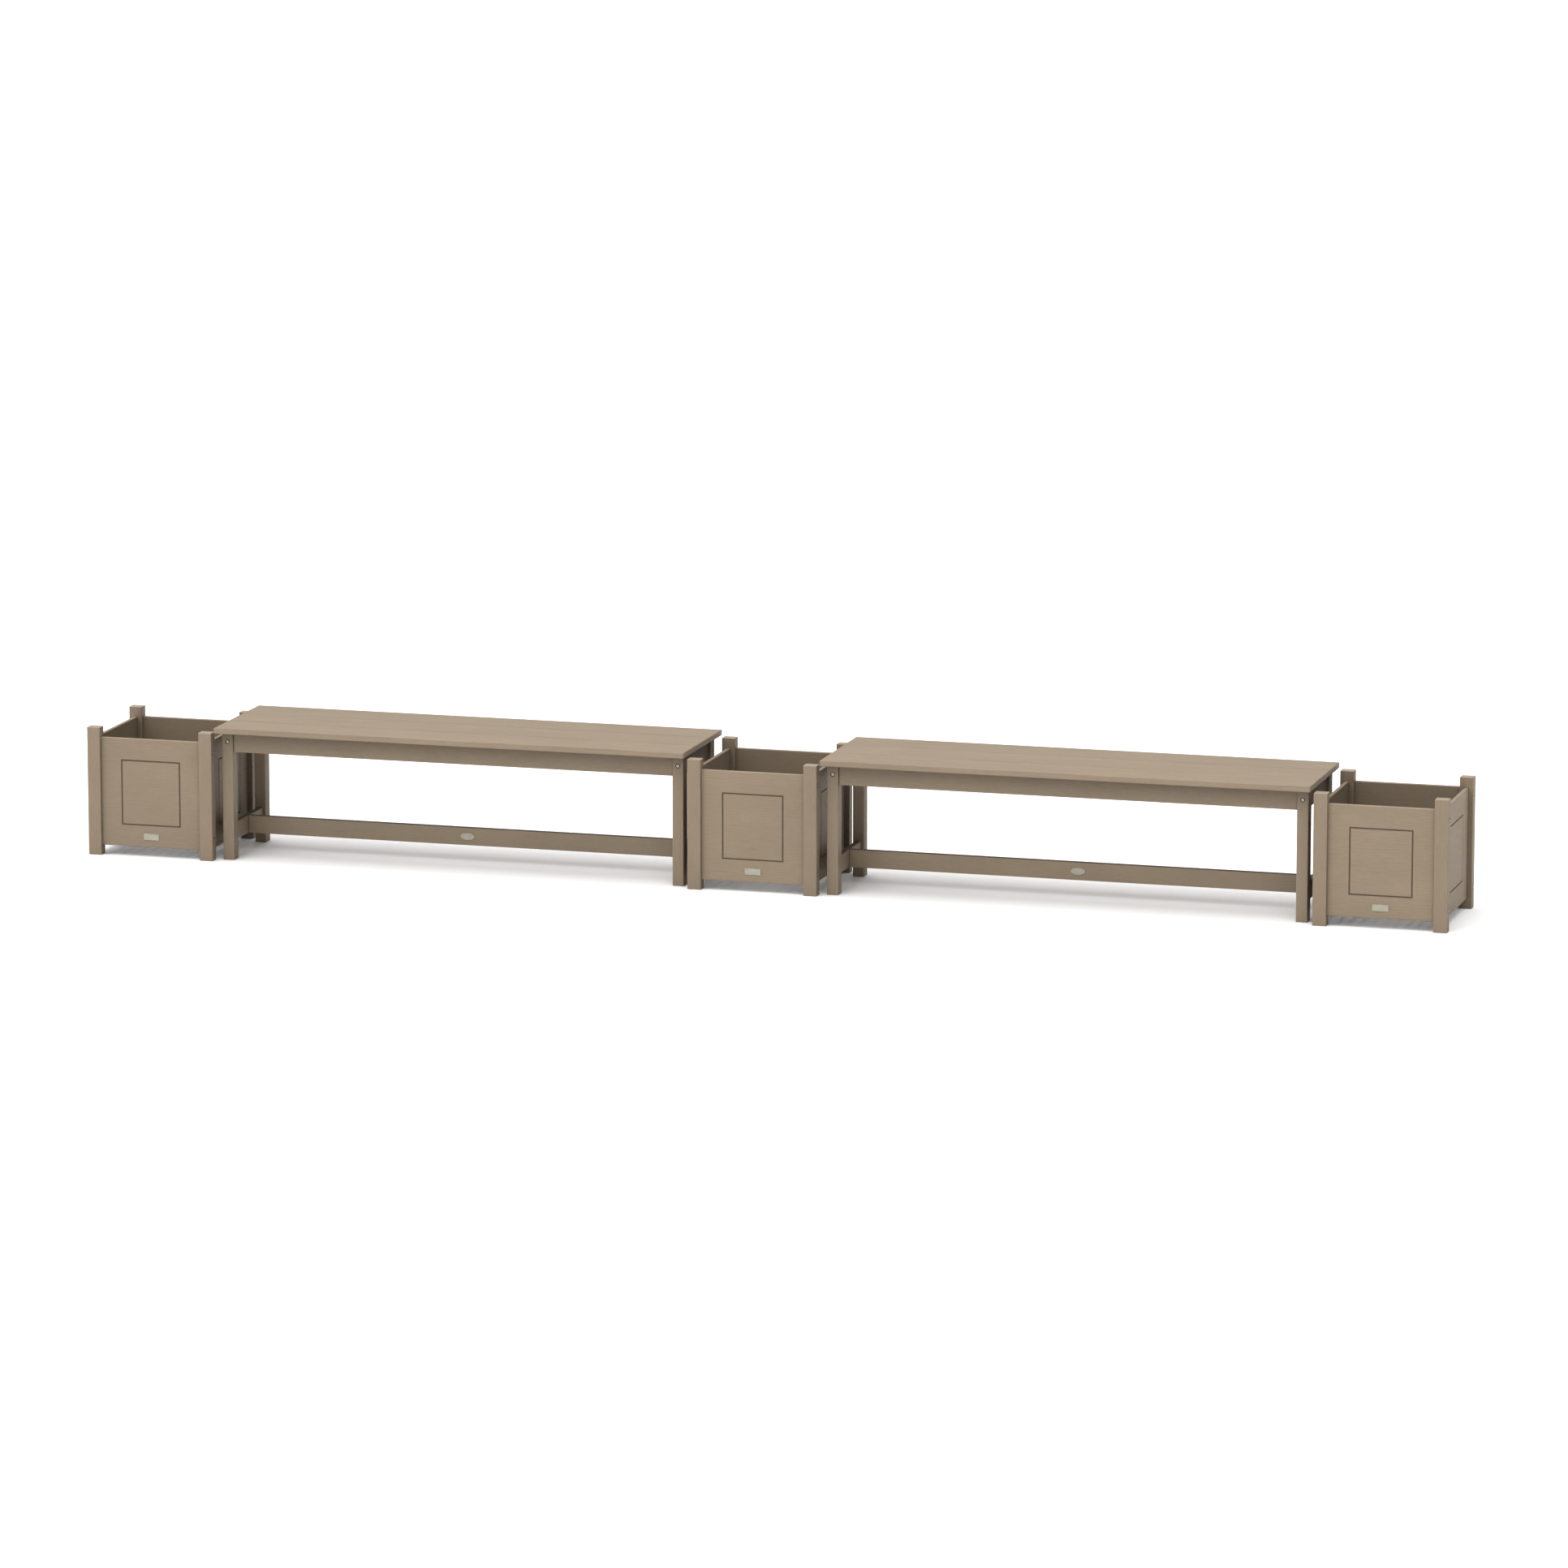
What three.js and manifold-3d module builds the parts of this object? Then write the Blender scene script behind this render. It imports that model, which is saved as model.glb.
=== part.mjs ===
import * as THREE from 'three';
import { mergeVertices } from 'three/addons/utils/BufferGeometryUtils.js';
import Module from 'manifold-3d';

// Garden bench set in plastic lumber: three square planters in a row with a
// backless bench between each two. The five units stand by themselves.
// Millimetres, +Z up, +X along the row, -Y towards the front.
// The origin is on the ground under the middle of the row.

const wasm = await Module();
wasm.setup();

// Clearances and overlaps
const FIT_GAP = 0.3; // between two faces that touch on the real object
const CUT_OVERRUN = 2; // how far a cutting body runs past the face it opens
const JOIN_DEPTH = 0.5; // how far two joined bodies run into each other
const MERGE_TOLERANCE = 0.0001;

// Rounded edges of the lumber
const EDGE_RADIUS = 3;
const END_ROUNDING = 2;
const ROUND_STEPS = 2;
const END_ROUND_STEPS = 1;

// The row
const PLANTER_COUNT = 3;
const UNIT_GAP = 11; // between a planter's posts and the end of a seat

// Planter: posts and panels
const PLANTER_WIDTH = 444;
const PLANTER_DEPTH = 440;
const POST_WIDTH = 46;
const POST_DEPTH = 38;
const POST_HEIGHT = 437;
const PANEL_THICKNESS = 13;
const PANEL_HEIGHT = 370;
const PANEL_FOOT = 33; // height of the panels' lower edge above the ground
const PANEL_HOUSING = 6; // depth of the groove in a post that holds a panel

// Planter: the routed rectangle on each panel's outer face
const ROUTED_WIDTH = 206;
const ROUTED_HEIGHT = 219;
const ROUTED_LINE = 5;
const ROUTED_DEPTH = 3;

// Planter: floor, held in a groove round the inside of the panels
const FLOOR_THICKNESS = 12;
const FLOOR_RISE = 17; // floor's underside above the panels' lower edge
const FLOOR_HOUSING = 4;
const DRAIN_COUNT = 11; // slots side by side, each from near the front to near the rear
const DRAIN_WIDTH = 14;
const DRAIN_MARGIN = 34; // from a slot's end to the floor's edge
const DRAIN_STEPS = 4; // in half a turn

// Bench: seat
const SEAT_LENGTH = 1644;
const SEAT_DEPTH = 450;
const SEAT_HEIGHT = 457;
const SEAT_THICKNESS = 19;
const PLANK_COUNT = 3;
const PLANK_GAP = 0.5;

// Bench: battens that are fixed across the underside of the middle plank
const BATTEN_COUNT = 3;
const BATTEN_WIDTH = 60;
const BATTEN_THICKNESS = 19;
const BATTEN_END_GAP = 1;

// Bench: legs
const LEG_WIDTH = 39;
const LEG_DEPTH = 44;
const LEG_END_INSET = 13; // leg's outer side to the end of the seat
const LEG_FRONT_INSET = 45; // leg's front face to the front of the seat

// Bench: rails
const RAIL_THICKNESS = 19;
const APRON_HEIGHT = 69;
const APRON_REVEAL = 6; // a long apron's face behind the legs' faces
const STRETCHER_HEIGHT = 61;
const STRETCHER_FOOT = 61; // stretchers' lower edge above the ground
const TENON_LENGTH = 12;
const TENON_SHOULDER = 4;
const STUB_TENON_LENGTH = 8;

// Bolts with a low domed head, each in a counterbore in a post or a leg
const BOLT_REACH = 60; // from the lumber's face to the bolt's end
const BOLT_SHANK_RADIUS = 3.2;
const BOLT_HEAD_RADIUS = 5.6;
const BOLT_HEAD_PROUD = 2; // how far the head stands out of the lumber's face
const BOLT_DOME_HEIGHT = 1.4;
const COUNTERBORE_RADIUS = 7.8;
const COUNTERBORE_DEPTH = 2.5;
const BOLT_SIDES = 8;
const LOWER_BOLT_INSET = 39; // from a panel's lower edge
const UPPER_BOLT_INSET = 34; // from a panel's upper edge
const END_APRON_BOLT_DROP = 33; // below the underside of the seat
const LONG_APRON_BOLT_DROP = 44;

// Blank plates
const PLATE_THICKNESS = 1.5;
const PLATE_WIDTH = 54;
const PLATE_HEIGHT = 22;
const PLATE_CORNER = 3;
const PLATE_CORNER_STEPS = 3;
const PLATE_RISE = 36; // plate's middle above the panel's lower edge
const BADGE_WIDTH = 50;
const BADGE_HEIGHT = 24;
const BADGE_SIDES = 20;

// Sizes that follow from the ones above
const ROW_PITCH = PLANTER_WIDTH + SEAT_LENGTH + 2 * UNIT_GAP;
const ROW_START = -(PLANTER_COUNT - 1) / 2 * ROW_PITCH;
const POST_X = (PLANTER_WIDTH - POST_WIDTH) / 2;
const POST_Y = (PLANTER_DEPTH - POST_DEPTH) / 2;
const PANEL_MID_Z = PANEL_FOOT + PANEL_HEIGHT / 2;
const FRONT_OPENING = PLANTER_WIDTH - 2 * POST_WIDTH;
const SIDE_OPENING = PLANTER_DEPTH - 2 * POST_DEPTH;
const LOWER_BOLT_Z = PANEL_FOOT + LOWER_BOLT_INSET;
const UPPER_BOLT_Z = PANEL_FOOT + PANEL_HEIGHT - UPPER_BOLT_INSET;
const FLOOR_Z = PANEL_FOOT + FLOOR_RISE;
const PLANK_DEPTH = (SEAT_DEPTH - (PLANK_COUNT - 1) * PLANK_GAP) / PLANK_COUNT;
const UNDERSIDE = SEAT_HEIGHT - SEAT_THICKNESS;
const LEG_HEIGHT = UNDERSIDE - FIT_GAP;
const LEG_X = SEAT_LENGTH / 2 - LEG_END_INSET - LEG_WIDTH / 2;
const LEG_Y = SEAT_DEPTH / 2 - LEG_FRONT_INSET - LEG_DEPTH / 2;
const APRON_MID_Z = UNDERSIDE - FIT_GAP - APRON_HEIGHT / 2;
const APRON_Y = LEG_Y + LEG_DEPTH / 2 - APRON_REVEAL - RAIL_THICKNESS / 2;
const STRETCHER_MID_Z = STRETCHER_FOOT + STRETCHER_HEIGHT / 2;
const LONG_SPAN = 2 * LEG_X - LEG_WIDTH;
const END_SPAN = 2 * LEG_Y - LEG_DEPTH;
const TENON_THICKNESS = RAIL_THICKNESS - 2 * TENON_SHOULDER;
const TENON_HEIGHT = STRETCHER_HEIGHT - 2 * TENON_SHOULDER;
const END_BOLT_Z = UNDERSIDE - END_APRON_BOLT_DROP;
const LONG_BOLT_Z = UNDERSIDE - LONG_APRON_BOLT_DROP;
const BATTEN_LENGTH = 2 * APRON_Y - RAIL_THICKNESS - 2 * BATTEN_END_GAP;
const BATTEN_PITCH = LONG_SPAN / (BATTEN_COUNT + 1);

// Left and right, or front and rear
const SIDES = [-1, 1];
const ENDS = [['left', -1], ['right', 1]];
const ROWS = [['front', -1], ['rear', 1]];

const finishes = {
  lumber: { color: 0xa2917d, roughness: 0.7, metalness: 0 },
  plate: { color: 0xb9b6a0, roughness: 0.5, metalness: 0 },
};

const set = new THREE.Group();

function unitAt(x) {
  const unit = new THREE.Group();
  unit.position.x = x;
  set.add(unit);
  return unit;
}

function place(unit, name, geometry, finish, x, y, z) {
  const mesh = new THREE.Mesh(geometry, new THREE.MeshStandardMaterial(finishes[finish]));
  mesh.name = name;
  mesh.position.set(x, y, z);
  unit.add(mesh);
  return mesh;
}

// Solids

function toSolid(geometry) {
  const bare = geometry.clone();
  bare.deleteAttribute('normal');
  bare.deleteAttribute('uv');
  const merged = mergeVertices(bare, MERGE_TOLERANCE);
  return new wasm.Manifold(new wasm.Mesh({
    numProp: 3,
    vertProperties: Float32Array.from(merged.attributes.position.array),
    triVerts: Uint32Array.from(merged.index.array),
  }));
}

function toGeometry(solid) {
  const mesh = solid.getMesh();
  const geometry = new THREE.BufferGeometry();
  geometry.setAttribute('position', new THREE.BufferAttribute(Float32Array.from(mesh.vertProperties), 3));
  geometry.setIndex(new THREE.BufferAttribute(Uint32Array.from(mesh.triVerts), 1));
  geometry.computeVertexNormals();
  return geometry;
}

// A plain block with its middle at a point
function block(size, at) {
  return toSolid(new THREE.BoxGeometry(...size).translate(...at));
}

// Turns a body that points along +Y so that it points along an axis
function turnTo(axis) {
  return new THREE.Quaternion().setFromUnitVectors(new THREE.Vector3(0, 1, 0), new THREE.Vector3(...axis));
}

// The body of a bolt hole that starts at a point and runs along an axis
function boltHole(length, at, axis) {
  const radius = (BOLT_SHANK_RADIUS + FIT_GAP) / Math.cos(Math.PI / BOLT_SIDES);
  const geometry = new THREE.CylinderGeometry(radius, radius, length, BOLT_SIDES);
  geometry.translate(0, length / 2, 0).applyQuaternion(turnTo(axis));
  return toSolid(geometry.translate(...at));
}

// A solid turned from a half profile of radii and heights, whose axis starts at a point on a face
function turned(profile, at, axis) {
  const points = profile.map(([radius, height]) => new THREE.Vector2(radius, height));
  const geometry = new THREE.LatheGeometry(points, BOLT_SIDES).applyQuaternion(turnTo(axis));
  return toSolid(geometry.translate(...at));
}

// Bores a counterbore into a lumber's face and seats a bolt in it, with its head pointing along an axis
function seatBolt(lumber, at, axis) {
  const counterbore = turned([
    [0, -COUNTERBORE_DEPTH],
    [COUNTERBORE_RADIUS, -COUNTERBORE_DEPTH],
    [COUNTERBORE_RADIUS, CUT_OVERRUN],
    [0, CUT_OVERRUN],
  ], at, axis);
  const bolt = turned([
    [0, -BOLT_REACH],
    [BOLT_SHANK_RADIUS, -BOLT_REACH],
    [BOLT_SHANK_RADIUS, -COUNTERBORE_DEPTH - JOIN_DEPTH],
    [BOLT_HEAD_RADIUS, -COUNTERBORE_DEPTH - JOIN_DEPTH],
    [BOLT_HEAD_RADIUS, BOLT_HEAD_PROUD - BOLT_DOME_HEIGHT],
    [BOLT_HEAD_RADIUS * Math.SQRT1_2, BOLT_HEAD_PROUD - BOLT_DOME_HEIGHT * (1 - Math.SQRT1_2)],
    [0, BOLT_HEAD_PROUD],
  ], at, axis);
  return lumber.subtract(counterbore).add(bolt);
}

// A rectangle with rounded corners, centred on its origin
function roundedRectangle(width, height, radius, steps) {
  const shape = new THREE.Shape();
  const corners = [[1, 1], [-1, 1], [-1, -1], [1, -1]];
  corners.forEach(([sx, sy], quarter) => {
    for (let step = 0; step <= steps; step += 1) {
      const angle = (quarter + step / steps) * Math.PI / 2;
      const x = sx * (width / 2 - radius) + radius * Math.cos(angle);
      const y = sy * (height / 2 - radius) + radius * Math.sin(angle);
      if (quarter === 0 && step === 0) shape.moveTo(x, y);
      else shape.lineTo(x, y);
    }
  });
  return shape;
}

// A board with every edge rounded, centred on its origin. Its length lies along the grain axis.
function board(x, y, z, grain) {
  const [across, high, length] = { x: [y, z, x], y: [x, z, y], z: [x, y, z] }[grain];
  const geometry = new THREE.ExtrudeGeometry(roundedRectangle(across, high, EDGE_RADIUS, ROUND_STEPS), {
    depth: length - 2 * END_ROUNDING,
    steps: 1,
    bevelThickness: END_ROUNDING,
    bevelSize: END_ROUNDING,
    bevelOffset: -END_ROUNDING,
    bevelSegments: END_ROUND_STEPS,
  });
  geometry.translate(0, 0, END_ROUNDING - length / 2);
  const alongX = new THREE.Vector3(1, 0, 0);
  const alongY = new THREE.Vector3(0, 1, 0);
  const upright = new THREE.Vector3(0, 0, 1);
  const turns = {
    x: new THREE.Matrix4().makeBasis(alongY, upright, alongX),
    y: new THREE.Matrix4().makeBasis(alongX, upright, alongY.clone().negate()),
    z: new THREE.Matrix4(),
  };
  return toSolid(geometry.applyMatrix4(turns[grain]));
}

// Planter

// A post has grooves for the two panels that meet in it, and two bolts that run into one of them.
function postGeometry(sx, sy) {
  const grooveSide = PANEL_THICKNESS + 2 * FIT_GAP;
  const grooveHeight = PANEL_HEIGHT + 2 * FIT_GAP;
  const cutDepth = PANEL_HOUSING + CUT_OVERRUN;
  const grooveZ = PANEL_MID_Z - POST_HEIGHT / 2;
  const grooveX = -sx * (POST_WIDTH / 2 - PANEL_HOUSING + cutDepth / 2);
  const grooveY = -sy * (POST_DEPTH / 2 - PANEL_HOUSING + cutDepth / 2);
  let post = board(POST_WIDTH, POST_DEPTH, POST_HEIGHT, 'z');
  post = post.subtract(block([cutDepth, grooveSide, grooveHeight], [grooveX, 0, grooveZ]));
  post = post.subtract(block([grooveSide, cutDepth, grooveHeight], [0, grooveY, grooveZ]));
  for (const z of [LOWER_BOLT_Z, UPPER_BOLT_Z]) {
    post = seatBolt(post, [sx * POST_WIDTH / 2, 0, z - POST_HEIGHT / 2], [sx, 0, 0]);
  }
  return toGeometry(post);
}

// A panel looks along -Y. Its ends fit the posts, and its back is grooved for the floor.
function panelSolid(opening) {
  const length = opening + 2 * (PANEL_HOUSING - FIT_GAP);
  const face = -PANEL_THICKNESS / 2;
  const routedDepth = ROUTED_DEPTH + CUT_OVERRUN;
  const routedY = face + ROUTED_DEPTH - routedDepth / 2;
  const routedOuter = [ROUTED_WIDTH + ROUTED_LINE, routedDepth, ROUTED_HEIGHT + ROUTED_LINE];
  const routedInner = [ROUTED_WIDTH - ROUTED_LINE, PANEL_THICKNESS, ROUTED_HEIGHT - ROUTED_LINE];
  const routed = block(routedOuter, [0, routedY, 0]).subtract(block(routedInner, [0, routedY, 0]));
  const grooveDepth = FLOOR_HOUSING + CUT_OVERRUN;
  const grooveHeight = FLOOR_THICKNESS + 2 * FIT_GAP;
  const grooveY = -face - FLOOR_HOUSING + grooveDepth / 2;
  const grooveZ = FLOOR_Z + FLOOR_THICKNESS / 2 - PANEL_MID_Z;
  const groove = block([length + 2 * CUT_OVERRUN, grooveDepth, grooveHeight], [0, grooveY, grooveZ]);
  return board(length, PANEL_THICKNESS, PANEL_HEIGHT, 'x').subtract(routed).subtract(groove);
}

// The front and back panels are drilled from both ends for the posts' bolts.
function boltedPanelGeometry() {
  let panel = panelSolid(FRONT_OPENING);
  const boltEnd = PLANTER_WIDTH / 2 - BOLT_REACH - FIT_GAP;
  const holeStart = FRONT_OPENING / 2 + PANEL_HOUSING + CUT_OVERRUN;
  for (const side of SIDES) {
    for (const z of [LOWER_BOLT_Z, UPPER_BOLT_Z]) {
      const hole = boltHole(holeStart - boltEnd, [side * holeStart, 0, z - PANEL_MID_Z], [-side, 0, 0]);
      panel = panel.subtract(hole);
    }
  }
  return toGeometry(panel);
}

// The floor is notched round the four posts and slotted for drainage.
function floorGeometry() {
  const housed = FLOOR_HOUSING - FIT_GAP - PANEL_THICKNESS / 2;
  const reachX = POST_X + housed;
  const reachY = POST_Y + housed;
  const notchX = FRONT_OPENING / 2 - FIT_GAP;
  const notchY = SIDE_OPENING / 2 - FIT_GAP;
  const shape = new THREE.Shape();
  shape.moveTo(notchX, -reachY);
  shape.lineTo(notchX, -notchY);
  shape.lineTo(reachX, -notchY);
  shape.lineTo(reachX, notchY);
  shape.lineTo(notchX, notchY);
  shape.lineTo(notchX, reachY);
  shape.lineTo(-notchX, reachY);
  shape.lineTo(-notchX, notchY);
  shape.lineTo(-reachX, notchY);
  shape.lineTo(-reachX, -notchY);
  shape.lineTo(-notchX, -notchY);
  shape.lineTo(-notchX, -reachY);
  const drainRadius = DRAIN_WIDTH / 2;
  const drainPitch = 2 * reachX / (DRAIN_COUNT + 1);
  const drainReach = reachY - DRAIN_MARGIN - drainRadius;
  for (let drain = 0; drain < DRAIN_COUNT; drain += 1) {
    const x = (drain - (DRAIN_COUNT - 1) / 2) * drainPitch;
    const slot = new THREE.Path();
    slot.absarc(x, drainReach, drainRadius, 0, Math.PI, false);
    slot.absarc(x, -drainReach, drainRadius, Math.PI, 2 * Math.PI, false);
    shape.holes.push(slot);
  }
  return new THREE.ExtrudeGeometry(shape, {
    depth: FLOOR_THICKNESS,
    bevelEnabled: false,
    curveSegments: DRAIN_STEPS,
  });
}

function buildPlanter(index, x) {
  const unit = unitAt(x);
  const name = `planter_${index}_`;
  for (const [row, sy] of ROWS) {
    for (const [end, sx] of ENDS) {
      const post = postGeometry(sx, sy);
      place(unit, `${name}${row}_${end}_post`, post, 'lumber', sx * POST_X, sy * POST_Y, POST_HEIGHT / 2);
    }
  }
  const bolted = boltedPanelGeometry();
  const side = toGeometry(panelSolid(SIDE_OPENING));
  place(unit, `${name}front_panel`, bolted, 'lumber', 0, -POST_Y, PANEL_MID_Z);
  place(unit, `${name}rear_panel`, bolted, 'lumber', 0, POST_Y, PANEL_MID_Z).rotation.z = Math.PI;
  place(unit, `${name}left_panel`, side, 'lumber', -POST_X, 0, PANEL_MID_Z).rotation.z = -Math.PI / 2;
  place(unit, `${name}right_panel`, side, 'lumber', POST_X, 0, PANEL_MID_Z).rotation.z = Math.PI / 2;
  place(unit, `${name}floor`, floorGeometry(), 'lumber', 0, 0, FLOOR_Z);
  const plate = new THREE.ExtrudeGeometry(
    roundedRectangle(PLATE_WIDTH, PLATE_HEIGHT, PLATE_CORNER, PLATE_CORNER_STEPS),
    { depth: PLATE_THICKNESS, bevelEnabled: false },
  );
  const plateY = -POST_Y - PANEL_THICKNESS / 2 - FIT_GAP;
  place(unit, `${name}blank_plate`, plate, 'plate', 0, plateY, PANEL_FOOT + PLATE_RISE).rotation.x = Math.PI / 2;
}

// Bench

function plankSolid() {
  return board(SEAT_LENGTH, PLANK_DEPTH, SEAT_THICKNESS, 'x');
}

// A plank with the battens that are fixed across its underside and reach under the planks beside it
function battenedPlankSolid(plankY) {
  const battenZ = -SEAT_THICKNESS / 2 - FIT_GAP - BATTEN_THICKNESS / 2;
  const fixingHeight = FIT_GAP + 2 * JOIN_DEPTH;
  const fixingZ = -SEAT_THICKNESS / 2 - FIT_GAP / 2;
  const fixingDepth = PLANK_DEPTH - 2 * EDGE_RADIUS;
  let plank = plankSolid();
  for (let count = 1; count <= BATTEN_COUNT; count += 1) {
    const x = count * BATTEN_PITCH - LONG_SPAN / 2;
    plank = plank.add(block([BATTEN_WIDTH, BATTEN_LENGTH, BATTEN_THICKNESS], [x, -plankY, battenZ]));
    plank = plank.add(block([BATTEN_WIDTH, fixingDepth, fixingHeight], [x, 0, fixingZ]));
  }
  return plank;
}

// A leg has a mortise for the end stretcher, a bolt into the long apron and one into the end apron.
function legGeometry(sx, sy) {
  const mortiseDepth = TENON_LENGTH + FIT_GAP + CUT_OVERRUN;
  const mortiseSize = [TENON_THICKNESS + 2 * FIT_GAP, mortiseDepth, TENON_HEIGHT + 2 * FIT_GAP];
  const mortiseY = -sy * (LEG_DEPTH / 2 + CUT_OVERRUN - mortiseDepth / 2);
  const mortise = block(mortiseSize, [0, mortiseY, STRETCHER_MID_Z - LEG_HEIGHT / 2]);
  const sideFace = [sx * LEG_WIDTH / 2, sy * (APRON_Y - LEG_Y), LONG_BOLT_Z - LEG_HEIGHT / 2];
  const outerFace = [0, sy * LEG_DEPTH / 2, END_BOLT_Z - LEG_HEIGHT / 2];
  let leg = board(LEG_WIDTH, LEG_DEPTH, LEG_HEIGHT, 'z').subtract(mortise);
  leg = seatBolt(leg, sideFace, [sx, 0, 0]);
  leg = seatBolt(leg, outerFace, [0, sy, 0]);
  return toGeometry(leg);
}

// An apron along X is drilled at both ends for the bolts that come through the legs.
function longApronGeometry() {
  const length = LONG_SPAN - 2 * FIT_GAP;
  const boltEnd = LONG_SPAN / 2 + LEG_WIDTH - BOLT_REACH - FIT_GAP;
  const holeStart = length / 2 + CUT_OVERRUN;
  let apron = board(length, RAIL_THICKNESS, APRON_HEIGHT, 'x');
  for (const side of SIDES) {
    const at = [side * holeStart, 0, LONG_BOLT_Z - APRON_MID_Z];
    apron = apron.subtract(boltHole(holeStart - boltEnd, at, [-side, 0, 0]));
  }
  return toGeometry(apron);
}

// An apron along Y is drilled the same way.
function endApronGeometry() {
  const length = END_SPAN - 2 * FIT_GAP;
  const boltEnd = END_SPAN / 2 + LEG_DEPTH - BOLT_REACH - FIT_GAP;
  const holeStart = length / 2 + CUT_OVERRUN;
  let apron = board(RAIL_THICKNESS, length, APRON_HEIGHT, 'y');
  for (const side of SIDES) {
    const at = [0, side * holeStart, END_BOLT_Z - APRON_MID_Z];
    apron = apron.subtract(boltHole(holeStart - boltEnd, at, [0, -side, 0]));
  }
  return toGeometry(apron);
}

// An end stretcher has a tenon at each end, and a mortise in its inner side for the long stretcher.
function endStretcherGeometry(sx) {
  const length = END_SPAN - 2 * FIT_GAP;
  const cutDepth = STUB_TENON_LENGTH + FIT_GAP + CUT_OVERRUN;
  const mortiseSize = [cutDepth, TENON_THICKNESS + 2 * FIT_GAP, TENON_HEIGHT + 2 * FIT_GAP];
  const mortiseX = -sx * (RAIL_THICKNESS / 2 + CUT_OVERRUN - cutDepth / 2);
  let stretcher = board(RAIL_THICKNESS, length, STRETCHER_HEIGHT, 'y');
  stretcher = stretcher.add(block([TENON_THICKNESS, length + 2 * TENON_LENGTH, TENON_HEIGHT], [0, 0, 0]));
  return toGeometry(stretcher.subtract(block(mortiseSize, [mortiseX, 0, 0])));
}

// The long stretcher has a stub tenon at each end.
function longStretcherGeometry() {
  const length = 2 * LEG_X - RAIL_THICKNESS - 2 * FIT_GAP;
  const stretcher = board(length, RAIL_THICKNESS, STRETCHER_HEIGHT, 'x');
  const tenons = block([length + 2 * STUB_TENON_LENGTH, TENON_THICKNESS, TENON_HEIGHT], [0, 0, 0]);
  return toGeometry(stretcher.add(tenons));
}

// An oval, centred on its origin
function ovalShape(width, height, sides) {
  const points = [];
  for (let side = 0; side < sides; side += 1) {
    const angle = 2 * Math.PI * side / sides;
    points.push(new THREE.Vector2(width / 2 * Math.cos(angle), height / 2 * Math.sin(angle)));
  }
  return new THREE.Shape(points);
}

function buildBench(index, x) {
  const unit = unitAt(x);
  const name = `bench_${index}_`;
  for (let plank = 0; plank < PLANK_COUNT; plank += 1) {
    const y = (plank - (PLANK_COUNT - 1) / 2) * (PLANK_DEPTH + PLANK_GAP);
    const solid = plank === Math.floor(PLANK_COUNT / 2) ? battenedPlankSolid(y) : plankSolid();
    const z = SEAT_HEIGHT - SEAT_THICKNESS / 2;
    place(unit, `${name}seat_plank_${plank + 1}`, toGeometry(solid), 'lumber', 0, y, z);
  }
  const longApron = longApronGeometry();
  for (const [row, sy] of ROWS) {
    for (const [end, sx] of ENDS) {
      const leg = legGeometry(sx, sy);
      place(unit, `${name}${row}_${end}_leg`, leg, 'lumber', sx * LEG_X, sy * LEG_Y, LEG_HEIGHT / 2);
    }
    place(unit, `${name}${row}_apron`, longApron, 'lumber', 0, sy * APRON_Y, APRON_MID_Z);
  }
  const endApron = endApronGeometry();
  for (const [end, sx] of ENDS) {
    const stretcher = endStretcherGeometry(sx);
    place(unit, `${name}${end}_apron`, endApron, 'lumber', sx * LEG_X, 0, APRON_MID_Z);
    place(unit, `${name}${end}_stretcher`, stretcher, 'lumber', sx * LEG_X, 0, STRETCHER_MID_Z);
  }
  place(unit, `${name}long_stretcher`, longStretcherGeometry(), 'lumber', 0, 0, STRETCHER_MID_Z);
  const badge = new THREE.ExtrudeGeometry(
    ovalShape(BADGE_WIDTH, BADGE_HEIGHT, BADGE_SIDES),
    { depth: PLATE_THICKNESS, bevelEnabled: false },
  );
  const badgeY = -RAIL_THICKNESS / 2 - FIT_GAP;
  place(unit, `${name}blank_badge`, badge, 'plate', 0, badgeY, STRETCHER_MID_Z).rotation.x = Math.PI / 2;
}

// The row
for (let index = 0; index < PLANTER_COUNT; index += 1) buildPlanter(index + 1, ROW_START + index * ROW_PITCH);
for (let index = 1; index < PLANTER_COUNT; index += 1) buildBench(index, ROW_START + (index - 1 / 2) * ROW_PITCH);

export default set;
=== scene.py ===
import math
import random

import bmesh
import bpy
from mathutils import Matrix, Vector


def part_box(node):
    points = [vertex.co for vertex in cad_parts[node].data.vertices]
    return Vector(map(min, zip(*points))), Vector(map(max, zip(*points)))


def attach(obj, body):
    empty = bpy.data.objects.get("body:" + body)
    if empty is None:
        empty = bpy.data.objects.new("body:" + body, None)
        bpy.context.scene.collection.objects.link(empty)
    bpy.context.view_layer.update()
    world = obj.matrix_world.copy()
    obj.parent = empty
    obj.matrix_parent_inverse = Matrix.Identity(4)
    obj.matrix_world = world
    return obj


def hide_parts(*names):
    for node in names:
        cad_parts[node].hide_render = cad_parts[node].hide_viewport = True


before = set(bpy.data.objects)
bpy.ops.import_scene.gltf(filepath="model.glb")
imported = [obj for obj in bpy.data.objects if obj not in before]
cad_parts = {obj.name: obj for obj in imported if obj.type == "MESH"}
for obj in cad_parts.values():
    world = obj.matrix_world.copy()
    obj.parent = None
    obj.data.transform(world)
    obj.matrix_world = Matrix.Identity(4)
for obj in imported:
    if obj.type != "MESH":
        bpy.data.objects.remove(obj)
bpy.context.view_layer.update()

# Metres throughout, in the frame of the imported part.
# The row is three planters with a bench between each two.
UNITS = {"planter": 3, "bench": 2}
SIDES = (("left", -1), ("right", 1))
ROWS = (("front", -1), ("rear", 1))

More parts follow.
